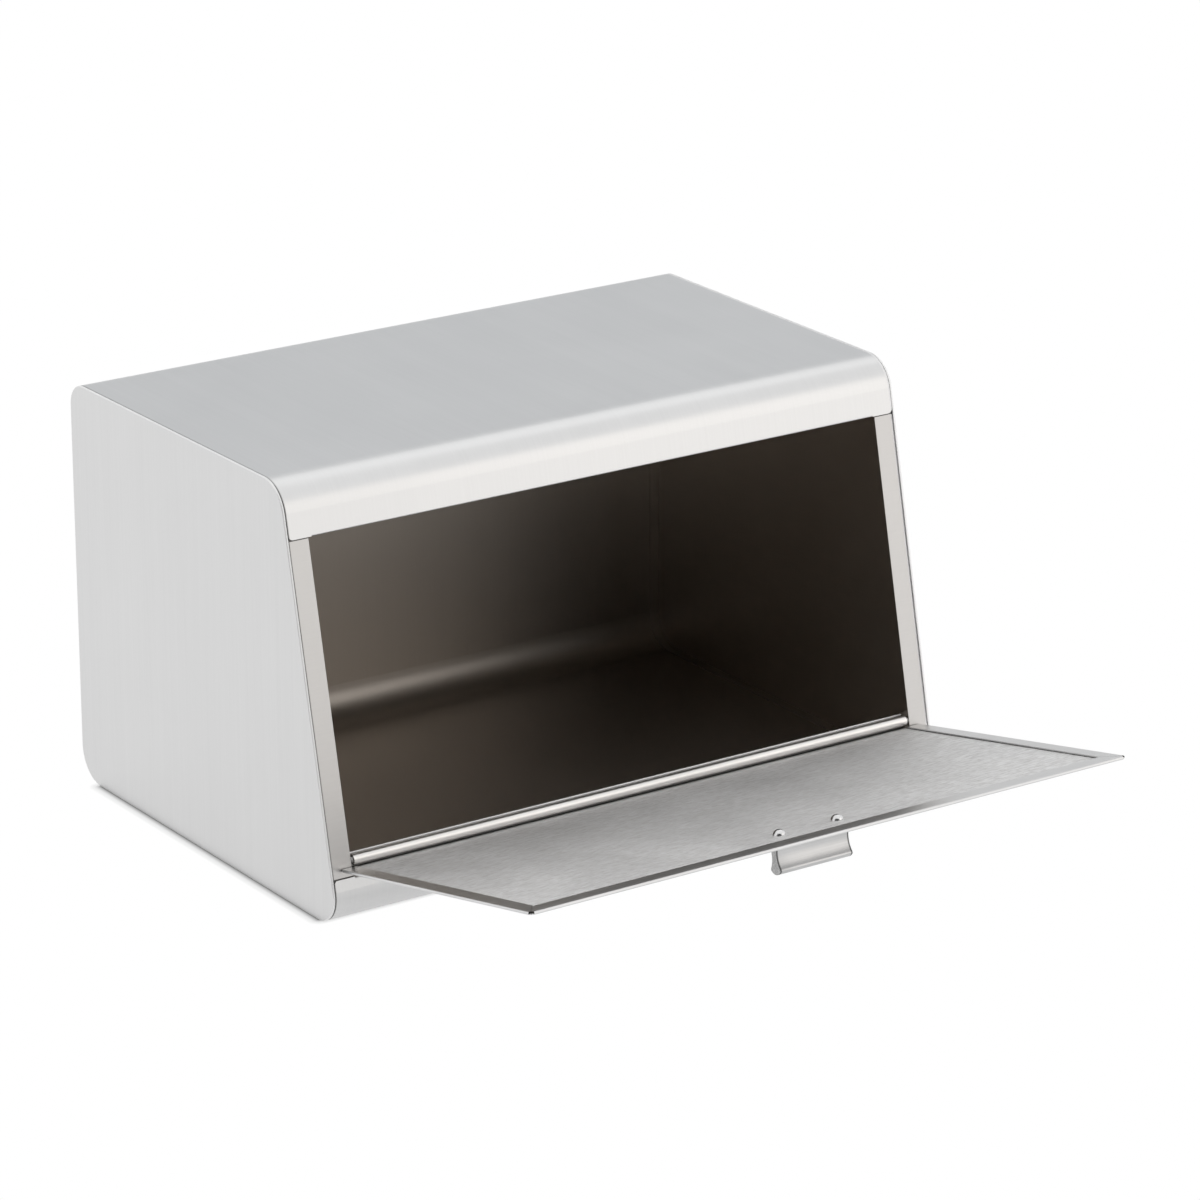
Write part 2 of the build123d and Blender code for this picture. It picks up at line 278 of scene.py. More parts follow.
def softbox(name, place, aim, size, radiance, tint):
    """A square area lamp turned towards a point, which adds `radiance` to the white where it is mirrored."""
    data = bpy.data.lights.new(name, "AREA")
    data.size = size
    data.energy = radiance * POWER_PER_RADIANCE * size * size
    data.color = tint
    lamp = bpy.data.objects.new(name, data)
    scene.collection.objects.link(lamp)
    lamp.location = place
    lamp.rotation_euler = (Vector(aim) - Vector(place)).to_track_quat("-Z", "Y").to_euler()
    lamp.visible_camera = False


softbox("overhead softbox", place=(1.4, 0.8, 2.4), aim=(0, 0, 0.1), size=1.4, radiance=0.15,
        tint=(0.97, 0.99, 1.0))
softbox("right softbox", place=(2.3, -3.0, 1.05), aim=(0, 0, 0.2), size=3.0, radiance=0.3,
        tint=(1.0, 0.91, 0.81))

# %% Flag and card
def studio_card(name, start, end, low, high, shader_kind, colour):
    """An upright card over the floor line from start to end, which only reflections see."""
    bpy.ops.object.select_all(action="DESELECT")
    run = Vector(end) - Vector(start)
    middle = (Vector(start) + Vector(end)) / 2
    bpy.ops.mesh.primitive_plane_add(size=1.0)
    card = bpy.context.object
    card.name = name
    card.scale = (run.length, high - low, 1.0)
    card.rotation_euler = (math.pi / 2, 0, math.atan2(run.y, run.x))
    card.location = (middle.x, middle.y, (low + high) / 2)
    bpy.ops.object.transform_apply(location=True, rotation=True, scale=True)
    material, tree = empty_material(name)
    close_material(tree, add(tree, shader_kind, Color=colour))
    dress(card, material)
    card.visible_camera = False
    card.visible_shadow = False


studio_card("dark flag", start=(-3.2, -0.9), end=(0.4, -3.5), low=0.0, high=3.0,
            shader_kind="BsdfDiffuse", colour=grey(0.03))
studio_card("cool card", start=(0.2, 4.4), end=(4.2, 1.8), low=0.3, high=3.2,
            shader_kind="Emission", colour=grey(0.7, -0.02))
print("cards: dark flag and cool card")

# %% [markdown]
# Several finishes share the same few effects, so each effect is a node group,
# built once and used with its own values.
# The first is the brushing: an abrasive belt leaves long hair lines on the sheet.
# They could be painted in an image, but noise that is stretched along the belt's run
# stays sharp at any distance.

# %% Starting and using a node group
NOISE_RANGE = (0.3, 0.7)  # where nearly all of a noise's values lie


def new_group(name, outputs, **inputs):
    """A node group with named sockets, as its tree, what it is given and the values that it gives."""
    tree = bpy.data.node_groups.new(name, "ShaderNodeTree")
    for label, kind in inputs.items():
        tree.interface.new_socket(label, in_out="INPUT", socket_type="NodeSocket" + kind)
    for label in outputs:
        tree.interface.new_socket(label, in_out="OUTPUT", socket_type="NodeSocketFloat")
    return tree, tree.nodes.new("NodeGroupInput").outputs, tree.nodes.new("NodeGroupOutput").inputs


def use(tree, group, **values):
    """A node group placed in a tree with its own values, as its outputs."""
    return add(tree, "Group", node_tree=group, **values).outputs


def full_contrast(tree, noise):
    """A noise stretched to reach from 0 to 1."""
    return remap(tree, noise, *NOISE_RANGE)


print("noise is stretched from:", NOISE_RANGE)

# %% Group: hair lines from the brushing belt
HAIR_SHARE = 0.55  # the rest are the wider bands that the belt leaves
BAND_SCALE = 0.16

brushed_lines, given, gives = new_group("brushed lines", ["Lines"], Place="Vector", Stretch="Vector")
drawn = vector_of(brushed_lines, "MULTIPLY", given["Place"], given["Stretch"])
hairs = add(brushed_lines, "TexNoise", "hairs", Vector=drawn, Scale=1.0, Detail=1.0, Roughness=0.5)
bands = add(brushed_lines, "TexNoise", "belt bands", Vector=drawn, Scale=BAND_SCALE, Detail=2.0)
both = mix_values(brushed_lines, HAIR_SHARE, bands.outputs[0], hairs.outputs[0])
brushed_lines.links.new(full_contrast(brushed_lines, both), gives["Lines"])
print("group:", brushed_lines.name)

# %% [markdown]
# Handling and wiping leave a faint haze on any steel, a few centimetres across,
# that shows only in the light. A soft noise with a little distortion has that wandering edge,
# and each finish takes as much of it as it needs.

# %% Group: haze from handling
handling_haze, given, gives = new_group("handling haze", ["Haze"], Place="Vector", Size="Float")
fineness = math_of(handling_haze, "DIVIDE", 1.0, given["Size"])
clouds = add(handling_haze, "TexNoise", "clouds", Vector=given["Place"], Scale=fineness, Detail=4.0,
             Distortion=0.6)
handling_haze.links.new(full_contrast(handling_haze, clouds.outputs[0]), gives["Haze"])
print("group:", handling_haze.name)

# %% [markdown]
# The door's inner face was left as it came from the rolling mill:
# matt, with a fine speckle of lighter grains.
# Sawn ends, rivet heads and broken mandrels have the same look at another size.
# Small Voronoi cells give the separate grains,
# and noise of about the same size keeps them from looking like tiles.

# %% Group: speckle of rolled and sawn metal
GRAIN_SHARE = 0.4  # the rest is the noise between the grains

rolled_speckle, given, gives = new_group("rolled speckle", ["Speckle"], Place="Vector", Grain="Float")
fineness = math_of(rolled_speckle, "DIVIDE", 1.0, given["Grain"])
cells = add(rolled_speckle, "TexVoronoi", "grains", Vector=given["Place"], Scale=fineness)
cell_tone = add(rolled_speckle, "SeparateColor", Color=cells.outputs["Color"]).outputs[0]
blur = add(rolled_speckle, "TexNoise", "between the grains", Vector=given["Place"], Scale=fineness,
           Detail=3.0)
soft = full_contrast(rolled_speckle, blur.outputs[0])
rolled_speckle.links.new(mix_values(rolled_speckle, GRAIN_SHARE, soft, cell_tone), gives["Speckle"])
print("group:", rolled_speckle.name)

# %% [markdown]
# A sheet has two sides, and here they differ:
# the outer one is brushed, the inner one is dull, darker and a little brown,
# partly as the mill left it and partly as painted shade of the box's inside.
# The mesh doesn't know which is which, but on a box the outer side is the one
# that faces away from the middle.
# The same question, asked of one direction, finds the folds and rims, which get a painted sheen.

# %% Group: the outer side of a box's sheets
SIDE_BLEND = 0.002  # either way, where a face looks neither in nor out

sheet_sides, given, gives = new_group("sheet sides", ["Outside"],
                                      Place="Vector", Facing="Vector", Middle="Vector")
away = vector_of(sheet_sides, "SUBTRACT", given["Place"], given["Middle"])
outward = vector_of(sheet_sides, "DOT_PRODUCT", away, given["Facing"])
sheet_sides.links.new(remap(sheet_sides, outward, -SIDE_BLEND, SIDE_BLEND), gives["Outside"])
print("group:", sheet_sides.name)

# %% Group: painted sheen on folds and rims
SHEEN_LEVELS = (0.5, 0.97)  # how nearly flat a face lies where the painted sheen is full, and where it has ended

bend_sheen, given, gives = new_group("painted bend sheen", ["Rub"], Facing="Vector", Flat="Vector")
flatness = vector_of(bend_sheen, "DOT_PRODUCT", given["Facing"], given["Flat"])
level = math_of(bend_sheen, "ABSOLUTE", flatness)
bend_sheen.links.new(remap(bend_sheen, level, *SHEEN_LEVELS, 1.0, 0.0), gives["Rub"])
print("group:", bend_sheen.name)

# %% [markdown]
# Sheets that only lap leave a hair of dark between them. On this box the seam beside the left rim stands
# a little open and the one on the right is tight, and a thin shadow lies on each strip where the wrapper's
# ends lap over it. Behind the sill, the gutter lip shows its bright, rounded cut edge.
# Modelled gaps and edges so thin would hardly catch a sample,
# so these lines are masks, found from the place on the box, and painted into the colour:
# painted shade in the open seam and under the laps, painted light that lifts the tight seam's shade,
# and a painted glint on the lip.

# %% Seams: where they lie on the box
FOOT_DEPTH = 0.234  # from front to back, along the floor
TOP_DEPTH = 0.1905
BOX_HEIGHT = 0.2
LEAN = math.atan2(FOOT_DEPTH - TOP_DEPTH, BOX_HEIGHT)  # how far the front leans back
FRONT_FOOT = -0.119
LAPS = (0.1789, 0.0228)  # the header's lower edge and the sill's upper one, up the slope
LAP_SHADOW = 0.0006
SEAM = 0.0008
SEAM_ON_TOP = 0.35  # the open seam's painted shade is fainter there than on the front
TOP_TO_FRONT = (0.2, 0.9)  # how far a face looks to the front where that changes
TIGHT_SEAM = 0.0013  # as wide as the strip's rounded corner
LIP_TOP = 0.033  # the gutter lip behind the sill, up the slope
LIP_EDGE = 0.0004
LIP_BEFORE = -0.09  # in front of this, only the lip lies at that height
LIP_FACING = (0.0, -0.7, 0.7)  # where the middle of its rounded cut edge looks
print("the front leans back, degrees:", round(math.degrees(LEAN), 2))

# %% Group: seams and the gutter's lip
seams, given, gives = new_group("seams", ["Open", "Tight", "Lap", "Lip"],
                                Place="Vector", Facing="Vector", Edge="Float")
spot = add(seams, "SeparateXYZ", Vector=given["Place"]).outputs
faces_front = times(seams, add(seams, "SeparateXYZ", Vector=given["Facing"]).outputs["Y"], -1.0)
to_left = remap(seams, plus(seams, given["Edge"], spot["X"]), 0.0, SEAM, 1.0, 0.0)
to_right = remap(seams, math_of(seams, "SUBTRACT", given["Edge"], spot["X"]), 0.0, TIGHT_SEAM, 1.0, 0.0)
opened = times(seams, to_left, remap(seams, faces_front, *TOP_TO_FRONT, SEAM_ON_TOP, 1.0))
from_foot = math_of(seams, "SUBTRACT", spot["Y"], FRONT_FOOT)
slope = plus(seams, times(seams, from_foot, math.sin(LEAN)), times(seams, spot["Z"], math.cos(LEAN)))
below = math_of(seams, "LESS_THAN", math_of(seams, "SUBTRACT", LAPS[0], slope), LAP_SHADOW)
above = math_of(seams, "LESS_THAN", math_of(seams, "SUBTRACT", slope, LAPS[1]), LAP_SHADOW)
at_lip = add(seams, "Math", operation="COMPARE", I0=slope, I1=LIP_TOP, I2=LIP_EDGE).outputs[0]
at_lip = times(seams, at_lip, math_of(seams, "LESS_THAN", spot["Y"], LIP_BEFORE))
seams.links.new(opened, gives["Open"])
seams.links.new(to_right, gives["Tight"])
seams.links.new(math_of(seams, "MAXIMUM", below, above), gives["Lap"])
seams.links.new(at_lip, gives["Lip"])
print("group:", seams.name)

# %% [markdown]
# The box's own sheets are all one brushed steel, but the belt ran a different way on each:
# round the wrapper, up and down on the side covers, and from front to back on the inner walls.
# So one function makes the finish, and the stretch of its hair lines sets their run:
# short steps across them, long ones along.
# The lines shade the colour a little, change the gloss, and stand in the bump, as real scratches do.

# %% Finish: brushed sheet
BOX_MIDDLE = (0.0, 0.0, 0.1)
SHEET_HAZE = 0.08
LINE_LIGHT = (0.975, 1.015)  # how far the hair lines and the haze shade the colour
HAZE_LIGHT = (-0.01, 0.02)
LINE_GLOSS = (-0.012, 0.03)  # and how far they change the roughness
HAZE_GLOSS = (-0.01, 0.03)
DULL_SHADED_INSIDE = (grey(0.43, 0.10), 0.42)  # a colour and a roughness; its dark brown is partly the duller mill side, partly painted shade
SHEEN_ON_BENDS = (grey(0.9), 0.25)  # a painted sheen's colour, and what it adds to the roughness
# painted shade in the open seam and under the laps, and what it adds to the roughness
PAINTED_SEAM_SHADE = (grey(0.04, 0.05), 0.25)
# painted light: the tight seam's groove is given a pale colour that lifts its shade
TIGHT_SEAM_LIGHT = grey(0.92)
# painted glint on the gutter lip's rounded cut edge
LIP_GLINT = grey(0.95)
EDGE_GLOSS = 0.45  # what the tight seam's painted light and the lip's painted glint add to the roughness


def brushed_sheet(name, stretch, outer, inner=DULL_SHADED_INSIDE, flat=None, edge=None, laps=0.0, lip=0.0):
    """Brushed steel: a colour and a roughness a side; `flat` adds a painted sheen on rims, the last three
    the painted seam lines.
    """
    material, tree = empty_material(name)
    where = add(tree, "TexCoord").outputs
    place, facing = where["Object"], where["Normal"]
    lines = use(tree, brushed_lines, Place=place, Stretch=stretch)["Lines"]
    haze = use(tree, handling_haze, Place=place, Size=SHEET_HAZE)["Haze"]
    outside = use(tree, sheet_sides, Place=place, Facing=facing, Middle=BOX_MIDDLE)["Outside"]
    light = plus(tree, spread(tree, lines, *LINE_LIGHT), spread(tree, haze, *HAZE_LIGHT))
    colour = shaded(tree, mix_colours(tree, outside, inner[0], outer[0]), light)
    gloss = plus(tree, spread(tree, outside, inner[1], outer[1]), spread(tree, lines, *LINE_GLOSS))
    gloss = plus(tree, gloss, spread(tree, haze, *HAZE_GLOSS))
    relief = bump(tree, lines, strength=0.06, depth=0.00005)
    if flat:
        sheen = use(tree, bend_sheen, Facing=facing, Flat=flat)["Rub"]
        # painted sheen: the folds and rims are given a lighter colour
        colour = mix_colours(tree, times(tree, sheen, outside), colour, SHEEN_ON_BENDS[0])
        gloss = plus(tree, gloss, times(tree, sheen, SHEEN_ON_BENDS[1]))
    if edge:
        seam = use(tree, seams, Place=place, Facing=facing, Edge=edge)
        tight = times(tree, seam["Tight"], outside)
        # painted shade: the open seam and the strips under the laps are darkened
        dark = math_of(tree, "MAXIMUM", seam["Open"], times(tree, seam["Lap"], laps))
        dark = times(tree, dark, outside)
        lip_glint = times(tree, seam["Lip"], lip)
        # painted light in the tight seam
        colour = mix_colours(tree, tight, colour, TIGHT_SEAM_LIGHT)
        colour = mix_colours(tree, dark, colour, PAINTED_SEAM_SHADE[0])
        # painted glint on the lip
        colour = mix_colours(tree, lip_glint, colour, LIP_GLINT)
        gloss = plus(tree, gloss, times(tree, dark, PAINTED_SEAM_SHADE[1]))
        gloss = plus(tree, gloss, times(tree, math_of(tree, "MAXIMUM", tight, lip_glint), EDGE_GLOSS))
        if lip:
            rounded = add(tree, "Mix", "rounded cut edge", data_type="VECTOR",
                          I0=lip_glint, I4=relief, I5=LIP_FACING).outputs[1]
            relief = vector_of(tree, "NORMALIZE", rounded)
    close_as_metal(tree, colour, gloss, relief)
    return material


print("a dull inner side, colour and roughness:", [round(v, 2) for v in DULL_SHADED_INSIDE[0][:3]], DULL_SHADED_INSIDE[1])

# %% The box's own sheets
HAIR = 1100.0  # across the lines, per metre
RUN = 14.0  # along them
WRAPPER = (grey(0.70), 0.305)  # a colour and a roughness
COVER = (grey(0.735), 0.33)
# painted light: the covers' inner side is far paler than the outer one, which lifts the shade in the grooves
# beside their rims
COVER_BACK = (grey(0.92), 0.6)
WALL = (grey(0.58, 0.02), 0.36)
LAP_DARK = 0.8

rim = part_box("body_wrapper")[1].x
wrapper_steel = brushed_sheet("brushed wrapper", (HAIR, RUN, RUN), WRAPPER, edge=rim, lip=1.0)
cover_steel = brushed_sheet("brushed cover", (RUN, HAIR, RUN), COVER, COVER_BACK, flat=(1.0, 0.0, 0.0))
wall_steel = brushed_sheet("brushed inner wall", (RUN, RUN, HAIR), WALL, edge=rim, laps=LAP_DARK)
dress(nodes["body_wrapper"], wrapper_steel)
for side in ("left", "right"):
    dress(nodes[side + "_side_cover"], cover_steel)
    dress(nodes[side + "_inner_wall"], wall_steel)
print("brushed:", wrapper_steel.name, cover_steel.name, wall_steel.name)

# %% [markdown]
# The door's sheet shows both of its sides at once: the mill's matt speckle on the flat of the inner face,
# and the brushed outer side on the turned hems, on the rolled tube, which is painted lighter as a highlight,
# and underneath.
# Inside the folds, in the notches at the free corners and in the slot under the tube it is dark,
# because hardly any light gets in, and that shade is painted into the colour.
# In the door's own frame all of that is a plain question of place,
# so a Mapping node turns the pattern to lie along the open door.

# %% The door's own frame
hinge = next(joint for joint in frame["joints"] if joint["name"] == "door_hinge")
HINGE = Vector(hinge["pos_m"])
DOOR_TILT = math.radians(11.87)  # the open door rises this much towards its free edge


def in_door_frame(tree):
    """The place and the facing as the open door sees them: -Y out along it, Z up from its inner face."""
    where = add(tree, "TexCoord").outputs
    place = add(tree, "Mapping", vector_type="TEXTURE", Vector=where["Object"],
                Location=HINGE, Rotation=(-DOOR_TILT, 0.0, 0.0)).outputs[0]
    facing = add(tree, "Mapping", vector_type="VECTOR", Vector=where["Normal"],
                 Rotation=(DOOR_TILT, 0.0, 0.0)).outputs[0]
    return place, facing


print("hinge, mm:", [round(1000 * v, 2) for v in HINGE])

# %% Door sheet: the flat of its inner face
DOOR_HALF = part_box("door_panel")[1].x
SIDE_HEM = 0.008
FRONT_HEM = 0.010
FREE_EDGE = -0.1599  # along the door from the hinge's axis
BELOW_HEMS = -0.003  # between the inner face and the tops of the hems
FACES_UP = 0.9

material, tree = empty_material("door sheet")
place, facing = in_door_frame(tree)
spot = add(tree, "SeparateXYZ", Vector=place).outputs
sideways = math_of(tree, "ABSOLUTE", spot["X"])
upward = add(tree, "SeparateXYZ", Vector=facing).outputs["Z"]
between_hems = math_of(tree, "LESS_THAN", sideways, DOOR_HALF - SIDE_HEM)
behind_hem = math_of(tree, "GREATER_THAN", spot["Y"], FREE_EDGE + FRONT_HEM)
inner_face = times(tree, math_of(tree, "GREATER_THAN", upward, FACES_UP),
                   math_of(tree, "LESS_THAN", spot["Z"], BELOW_HEMS))
flat_face = times(tree, times(tree, between_hems, behind_hem), inner_face)
print("door half width, mm:", round(1000 * DOOR_HALF, 2))

# %% Door sheet: its tube and its dark hollows
TUBE_RADIUS = 0.0027  # just outside the rolled edge
FOLD_RADIUS = 0.00075
NOTCH_RADIUS = 0.00135  # just outside the notches at the free corners
NOTCH_FOOT = -0.0037  # just below the inner face
SLOT = (-0.001, 0.0007)  # along the door, where the slot's dark begins and where it is deepest
SLOT_DARK = 0.8

near_axis = vector_of(tree, "MULTIPLY", place, (0.0, 1.0, 1.0))
tube = math_of(tree, "LESS_THAN", vector_of(tree, "LENGTH", near_axis), TUBE_RADIUS)
looks_to_axis = math_of(tree, "LESS_THAN", vector_of(tree, "DOT_PRODUCT", facing, near_axis), 0.0)
slot = times(tree, looks_to_axis, remap(tree, spot["Y"], *SLOT, 0.0, SLOT_DARK))
across = math_of(tree, "SUBTRACT", sideways, DOOR_HALF - FOLD_RADIUS)
along = math_of(tree, "SUBTRACT", spot["Y"], FREE_EDGE + FOLD_RADIUS)
from_notch = vector_of(tree, "LENGTH", add(tree, "CombineXYZ", X=across, Y=along).outputs[0])
notch = times(tree, math_of(tree, "GREATER_THAN", spot["Z"], NOTCH_FOOT),
              math_of(tree, "LESS_THAN", from_notch, NOTCH_RADIUS))
under_hems = math_of(tree, "SUBTRACT", inner_face, flat_face)
hollow = math_of(tree, "MAXIMUM", math_of(tree, "MAXIMUM", under_hems, notch), slot)
print("door masks: flat face, tube and hollows, with", len(tree.nodes), "nodes")

# %% Door sheet: finish
MILL_RUN = (0.4, 1.4, 1.4)  # draws the grains out along the mill's run
MILL_GRAIN = 0.0015
DOOR_HAZE = 0.05

drawn_out = vector_of(tree, "MULTIPLY", place, MILL_RUN)
speckle = use(tree, rolled_speckle, Place=drawn_out, Grain=MILL_GRAIN)["Speckle"]
lines = use(tree, brushed_lines, Place=place, Stretch=(RUN, HAIR, HAIR))["Lines"]
haze = use(tree, handling_haze, Place=place, Size=DOOR_HAZE)["Haze"]
sheen = use(tree, bend_sheen, Facing=facing, Flat=(0.0, 0.0, 1.0))["Rub"]
matt = mix_colours(tree, speckle, grey(0.66, 0.012), grey(0.94))
satin = mix_colours(tree, lines, grey(0.65, 0.012), grey(0.71, 0.005))
# painted sheen on the door's folds
satin = mix_colours(tree, sheen, satin, grey(0.74))
# painted highlight: the rolled tube is given a lighter, warmer colour than the rest of its sheet
satin = mix_colours(tree, tube, satin, grey(0.84, 0.025))
colour = mix_colours(tree, flat_face, satin, matt)
# painted shade in the door's hollows: under the hems, in the notches and in the slot under the tube
colour = mix_colours(tree, hollow, colour, grey(0.06, 0.05))
colour = shaded(tree, colour, spread(tree, haze, 0.95, 1.03))
matt_gloss = plus(tree, spread(tree, speckle, 0.78, 0.66), spread(tree, haze, -0.03, 0.04))
satin_gloss = spread(tree, lines, 0.33, 0.39)
gloss = mix_values(tree, flat_face, satin_gloss, matt_gloss)
height = mix_values(tree, flat_face, lines, speckle)
close_as_metal(tree, colour, gloss, bump(tree, height, strength=0.15, depth=0.00006))
dress(nodes["door_panel"], material)
print("door:", material.name, "with", len(tree.nodes), "nodes")

# %% [markdown]
# The hinge rod is drawn wire: pulled through a die, it keeps fine lines along its length
# and a bright, slightly uneven skin.

# %% Finish: drawn wire
WIRE_LINES = (20.0, 4000.0, 4000.0)
WIRE_HAZE = 0.01

material, tree = empty_material("drawn wire")
place = add(tree, "TexCoord").outputs["Object"]
lines = use(tree, brushed_lines, Place=place, Stretch=WIRE_LINES)["Lines"]
haze = use(tree, handling_haze, Place=place, Size=WIRE_HAZE)["Haze"]
skin = mix_colours(tree, lines, grey(0.24, 0.02), grey(0.34))
skin = shaded(tree, skin, spread(tree, haze, 0.88, 1.0))
gloss = spread(tree, lines, 0.29, 0.36)
close_as_metal(tree, skin, gloss, bump(tree, lines, strength=0.2, depth=0.00003))
dress(nodes["hinge_rod"], material)
print("rod:", material.name)

# %% [markdown]
# The pull under the door is cut from an extruded aluminium bar:
# a flat land, flanks that curve in to a waist, and a rounded tip.
# A curve with a bevel object could sweep that section, but here it grows as it would by hand:
# a rectangle for the land is extruded downwards in small steps,
# and each step is scaled to the section's width at that depth.

# %% Pull: the section's width at each depth
PULL_WIDTH = 0.040
PULL_BASE = 0.0045  # half the land's depth
PULL_STEP = 0.0008
PULL_WAIST = (0.0018, 0.008)  # half its depth, and how far down
PULL_BULB = (0.0039, 0.0148)
PULL_DROP = 0.017
PULL_STEPS = 14
TIP_STEPS = 8


def circle_through(a, b, c):
    """The centre and radius of the circle through three points."""
    ab = Vector(b) - Vector(a)
    ac = Vector(c) - Vector(a)
    turn = 2 * (ab.x * ac.y - ab.y * ac.x)
    u = (ac.y * ab.length_squared - ab.y * ac.length_squared) / turn
    v = (ab.x * ac.length_squared - ac.x * ab.length_squared) / turn
    return Vector(a) + Vector((u, v)), math.hypot(u, v)


flank_middle, flank_radius = circle_through((PULL_BASE, PULL_STEP), PULL_WAIST, PULL_BULB)
tip_middle, tip_radius = circle_through(PULL_BULB, (0, PULL_DROP), (-PULL_BULB[0], PULL_BULB[1]))
section = [(PULL_STEP, PULL_BASE)]
for k in range(1, PULL_STEPS + 1):
    depth = PULL_STEP + (PULL_BULB[1] - PULL_STEP) * k / PULL_STEPS
    section.append((depth, flank_middle.x - math.sqrt(flank_radius ** 2 - (depth - flank_middle.y) ** 2)))
waist = min(half for depth, half in section)
tip_turn = math.acos((PULL_BULB[1] - tip_middle.y) / tip_radius)
for k in range(1, TIP_STEPS):
    angle = tip_turn * (1 - k / TIP_STEPS)
    section.append((tip_middle.y + tip_radius * math.cos(angle), tip_radius * math.sin(angle)))
print("section steps:", len(section), "waist, mm:", round(2000 * waist, 2))

# %% Pull: extrude and scale
bpy.ops.object.select_all(action="DESELECT")
bpy.ops.mesh.primitive_plane_add(size=1.0)
pull = bpy.context.object
pull.name = "door_pull"
pull.scale = (PULL_WIDTH, 2 * PULL_BASE, 1.0)
bpy.ops.object.transform_apply(scale=True)
bpy.ops.object.mode_set(mode="EDIT")
bpy.ops.mesh.select_all(action="SELECT")
last_depth, last_half = 0.0, PULL_BASE
for depth, half in section:
    bpy.ops.mesh.extrude_region_move(TRANSFORM_OT_translate={"value": (0, 0, last_depth - depth)})
    bpy.ops.transform.resize(value=(1.0, half / last_half, 1.0), center_override=(0, 0, -depth))
    last_depth, last_half = depth, half
bpy.ops.mesh.select_all(action="SELECT")
bpy.ops.mesh.normals_make_consistent(inside=False)
bpy.ops.object.mode_set(mode="OBJECT")
print("pull before rounding:", len(pull.data.polygons), "faces")

# %% Pull: rounded lips and broken edges
PULL_LIP_ROUND = 0.0009
EDGE_BREAK = 0.0003
TINY = 1e-6


def select_edges(piece, wanted):
    """Selects the edges whose two ends satisfy a test, in edit mode."""
    bpy.ops.object.mode_set(mode="EDIT")
    bpy.ops.mesh.select_mode(type="EDGE")
    bpy.ops.mesh.select_all(action="DESELECT")
    mesh = bmesh.from_edit_mesh(piece.data)
    for edge in mesh.edges:
        edge.select_set(wanted(edge.verts[0].co, edge.verts[1].co))
    mesh.select_flush_mode()
    bmesh.update_edit_mesh(piece.data)
    return sum(edge.select for edge in mesh.edges)


def on_lip(a, b):
    """Whether an edge runs along the bar at the bulb's lip."""
    at_bulb = all(abs(end.z + PULL_BULB[1]) < TINY for end in (a, b))
    return at_bulb and abs(a.y - b.y) < TINY


lips = select_edges(pull, on_lip)
bpy.ops.mesh.bevel(offset=PULL_LIP_ROUND, segments=5)
bpy.ops.object.mode_set(mode="OBJECT")
rounding = pull.modifiers.new("broken edges", "BEVEL")
rounding.width = EDGE_BREAK
rounding.segments = 3
rounding.limit_method = "ANGLE"
rounding.angle_limit = math.radians(50)
bpy.ops.object.modifier_apply(modifier=rounding.name)
bpy.ops.object.shade_smooth_by_angle(angle=math.radians(35))
print("lips rounded:", lips, "faces:", len(pull.data.polygons))

# %% Pull: its place under the door
PULL_OUT = -0.1359  # along the door from the hinge's axis
PANEL_UNDER = -0.0042  # the door sheet's outer face
PANEL_OVER = -0.0036  # and its inner face
lie_on_door = Matrix.Translation(HINGE) @ Matrix.Rotation(-DOOR_TILT, 4, "X")


def set_on_door(piece, x, height):
    """Puts a piece that was modelled upright at the origin in its place on the open door."""
    bpy.ops.object.select_all(action="DESELECT")
    piece.select_set(True)
    bpy.context.view_layer.objects.active = piece
    piece.matrix_world = lie_on_door @ Matrix.Translation((x, PULL_OUT, height))
    bpy.ops.object.transform_apply(location=True, rotation=True, scale=True)


set_on_door(pull, 0.0, PANEL_UNDER)
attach(pull, "door")
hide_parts("door_handle")
solid_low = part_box("door_handle")[0]
own_low = Vector(min(v.co[k] for v in pull.data.vertices) for k in range(3))
print("pull against its solid, mm:", [round(1000 * v, 3) for v in own_low - solid_low])

# %% [markdown]
# Each blind rivet has a round domed head on the door's inner face. In its middle is the hole where the
# mandrel snapped off, with the mandrel's rough stub at the bottom, near black: partly its broken steel,
# partly painted shade in the hole.
# A circle, extruded upwards and scaled ring by ring, makes the dome,
# and more rings of the same kind make the hole and the stub.
# The second rivet is a copy with a mesh of its own.

# %% Rivet: dome, hole and stub
HEAD_RADIUS = 0.003
HEAD_HEIGHT = 0.0025
HOLE_RADIUS = 0.0008
HOLE_DEPTH = 0.0011
STUB_RADIUS = 0.00062
STUB_RISE = 0.0003
DOME_SHOULDER = 0.72  # of the head's radius and of its height
DOME_STEPS = 12

bpy.ops.object.select_all(action="DESELECT")
bpy.ops.mesh.primitive_circle_add(vertices=48, radius=HEAD_RADIUS, fill_type="NGON")
rivet = bpy.context.object
rivet.name = "rivet_left"
bpy.ops.object.mode_set(mode="EDIT")
bpy.ops.mesh.select_mode(type="FACE")
bpy.ops.mesh.select_all(action="SELECT")


def grow(rise, radius, last_radius, level):
    """One more ring: the selected face is extruded and then scaled about the rivet's axis."""
    bpy.ops.mesh.extrude_region_move(TRANSFORM_OT_translate={"value": (0, 0, rise)})
    share = radius / last_radius
    bpy.ops.transform.resize(value=(share, share, 1.0), center_override=(0, 0, level))


